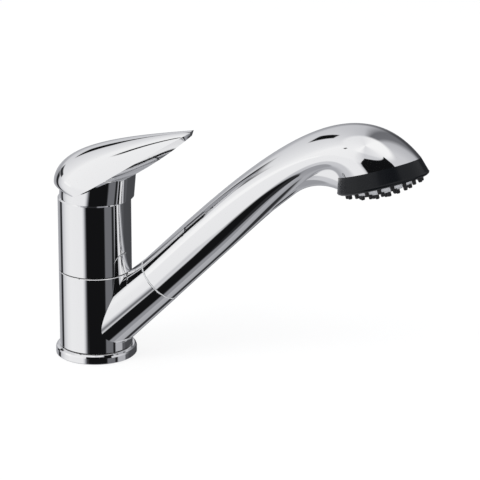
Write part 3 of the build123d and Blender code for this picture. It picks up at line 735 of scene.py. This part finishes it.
def make_face():
    """Pale face plate, and the rubber mat behind it with its nozzles."""
    face = bmesh.new()
    skin(face, crowned_disc(FACE_R, 0, FACE_T))
    make_piece(face, "face_plate", HAND_PLACE @ HEAD_PLACE, "handset", "spray_face", "pale_plastic")
    mat = bmesh.new()
    skin(mat, crowned_disc(FACE_R - MAT_INSET, -FACE_T, MAT_T))
    for circle, count in enumerate(NOZZLE_COUNTS):
        circle_r = circle * NOZZLE_PITCH
        for i in range(count):
            angle = 2 * pi * i / count + NOZZLE_TWIST * circle
            spot = Vector((circle_r * cos(angle), circle_r * sin(angle), crown_at(circle_r)))
            skin(mat, moved(turned_rows(NOZZLE, NOZZLE_POINTS), Matrix.Translation(spot)))
    make_piece(mat, "nozzles", HAND_PLACE @ HEAD_PLACE, "handset", "nozzle_mat", "black_rubber")


# Lever, above its cross pivot, with the handle towards +X

PIVOT_Z = 100.0
PIVOT_RISE = 0.7         # pivot above the top of the column
DOME_R = 21.35           # pocket for the dome cap
DOME_STEP = 4            # degrees between the rows of the pocket
HOOD_GAP = 0.35          # between the lifted lever and the column
LIFT = radians(20)
FAR = 3 * BODY_R         # beyond the lever, for what cuts it
REAR = 4.4               # hood's foot where the rim starts
REAR_TILT = 0.2          # rise of the hood's foot towards the rear, over its run
RIM_START = -7.3


def rear_height(x):
    """Height of the hood's tilted foot near its rear."""
    return REAR + (RIM_START - x) * REAR_TILT


# Lines of the hood from the rear to the tip: the crest, the rim and the foot of the side walls
CREST = [
    Vector((-24.6, 0, rear_height(-24.6))), Vector((-22.8, 0, 23.2)), Vector((-5.7, 0, 34.2)),
    Vector((62.8, 0, 46.2)),
]
RIM = [
    Vector((RIM_START, 20.5, REAR)), Vector((0.6, 30, REAR)), Vector((19.1, 19.6, 19.6)),
    Vector((62.65, 2.8, 45.6)),
]
FOOT = [
    Vector((-6.5, 18.8, rear_height(-6.5))), Vector((1.6, 22, REAR - 1.5)), Vector((31.3, 3.8, 14.3)),
    Vector((61.88, 2, 42.5)),
]
FULLNESS = (0.61, 0.94, 0.44, 0.34)     # half width of the arch's handles, as a share of the rim's
ARCH_HANDLE = 4 / 3      # height of the handles for an arch that reaches the crest
HOOD_ROWS = 90
ARCH_POINTS = 72
WALL_POINTS = 4
FLOOR_POINTS = 16
NECK_X = 1.5
NECK_R = 22.5
NECK_LEAN = radians(6.4)
NECK_LOW = -0.3
NECK_SINK = 0.4          # how far the neck goes on inside the hood
NECK_TAPER = 0.02        # how much it draws in on the way
NECK_PEAK = 10           # level of the point that closes it inside the hood
NECK_PASSES = 12         # steps that bring a point of the neck to the rim's height
HALVINGS = 40            # steps that find a place on the rim
POCKET_POINTS = 96
SWEPT_POINTS = 8
STEM_LEAN = radians(10)
STEM_TOP = 22.5
SOCKET_R = 8.0
SOCKET_FOOT = 6.5
SOCKET_ROOF = 1.0        # over the stem's top
SCREW_RISE = 17.0        # clamping screw above the pivot
PLUG_R = 2.4
PLUG_SEAT = 15.88        # how far behind the pivot the screw's way widens for the plug
PLUG_PLAY = 0.1
SMALL_POINTS = 48


def hood():
    """Arch from rim to rim, shallow side walls and a flat underside."""
    arches = []
    for c, r, k in zip(CREST, RIM, FULLNESS):
        base = Vector((r.x, 0, r.z))
        top = base + (c - base) * ARCH_HANDLE
        swell = Vector((0, k * r.y, 0))
        arches.append([r, top + swell, top - swell, mirrored(r)])
    rows = []
    for i in range(HOOD_ROWS + 1):
        t = i / HOOD_ROWS
        arch = [bezier([a[j] for a in arches], t) for j in range(4)]
        rim, foot = bezier(RIM, t), bezier(FOOT, t)
        row = [bezier(arch, j / ARCH_POINTS) for j in range(ARCH_POINTS)]
        row += between(mirrored(rim), mirrored(foot), WALL_POINTS)
        row += between(mirrored(foot), foot, FLOOR_POINTS)
        row += between(foot, rim, WALL_POINTS)
        rows.append(row)
    return solid("hood", rows)


def rim_height(x):
    """Height of the rim line at a distance from the pivot."""
    if x <= RIM_START:
        return rear_height(x)
    low, high = 0.0, 1.0
    for _ in range(HALVINGS):
        middle = (low + high) / 2
        if bezier(RIM, middle).x < x:
            low = middle
        else:
            high = middle
    return bezier(RIM, low).z


def neck():
    """Leaning neck that ends inside the hood."""
    lean = Vector((sin(NECK_LEAN), 0, cos(NECK_LEAN)))
    centre = Vector((NECK_X, 0, NECK_LOW))
    bottom = ring(centre, Vector((NECK_R, 0, 0)), Vector((0, NECK_R, 0)), COLUMN_POINTS)
    upper = []
    for point in bottom:
        top = point
        for _ in range(NECK_PASSES):
            top = point + lean * ((rim_height(top.x) - NECK_LOW) / lean.z)
        upper.append(top + lean * NECK_SINK - Vector((point.x - NECK_X, point.y, 0)) * NECK_TAPER)
    bm = bmesh.new()
    low, high = [[bm.verts.new(p) for p in row] for row in (bottom, upper)]
    peak = bm.verts.new((NECK_X, 0, NECK_PEAK))
    bm.faces.new(low[::-1])
    for k in range(len(low)):
        n = (k + 1) % len(low)
        bm.faces.new((low[k], low[n], high[n], high[k]))
        bm.faces.new((high[k], high[n], peak))
    return as_object(bm, "neck")


def handle():
    """Hood on its neck, hollowed for the dome cap and clear of the column when it is lifted."""
    clear = HOOD_GAP - PIVOT_RISE
    lifted = Matrix.Rotation(LIFT, 4, "Y")
    collar = neck()
    swept = moved(upright(FAR, -FAR, clear, SWEPT_POINTS), lifted)
    combine(collar, "DIFFERENCE", solid("swept", swept))
    shape = hood()
    combine(shape, "UNION", collar)
    arc = [radians(a) for a in range(DOME_STEP - 90, 90, DOME_STEP)]
    ball = turned_rows([(DOME_R * cos(a), DOME_R * sin(a)) for a in arc], POCKET_POINTS)
    combine(shape, "DIFFERENCE", solid("dome_pocket", ball))
    below = upright(BODY_R + HOOD_GAP, -FAR, clear, POCKET_POINTS)
    combine(shape, "DIFFERENCE", solid("body_below", moved(below, lifted)))
    socket = upright(SOCKET_R, SOCKET_FOOT, STEM_TOP + SOCKET_ROOF, SMALL_POINTS)
    combine(shape, "UNION", solid("stem_socket", moved(socket, Matrix.Rotation(STEM_LEAN, 4, "Y"))))
    return shape


def make_lever():
    """Handle, and the plug over the clamping screw's way at its rear."""
    rearward = Matrix.Translation((0, 0, SCREW_RISE)) @ Matrix.Rotation(-pi / 2, 4, "Y")
    shape = handle()
    way = upright(PLUG_R, PLUG_SEAT, FAR, SMALL_POINTS)
    combine(shape, "DIFFERENCE", solid("plug_way", moved(way, rearward)))
    plug_rows = upright(PLUG_R - PLUG_PLAY, PLUG_SEAT + PLUG_PLAY, FAR, SMALL_POINTS)
    plug = solid("plug", moved(plug_rows, rearward))
    combine(plug, "INTERSECT", hood())
    place = Matrix.Translation((0, 0, PIVOT_Z))
    for part, name, node, slot in (
            (shape, "lever_handle", "lever", "chrome"), (plug, "lever_index", "index_plug", "index")):
        bm = bmesh.new()
        take_mesh(bm, part)
        make_piece(bm, name, place, "lever", node, slot)


make_camera()
make_world()
make_floor()
make_lamp("key", (-0.9, -1.2, 1.3), 12.0)
make_lamp("fill", (1.4, -0.6, 0.9), 4.0)
dress_nodes()
make_sleeve()
make_bush()
make_handset()
make_face()
make_lever()
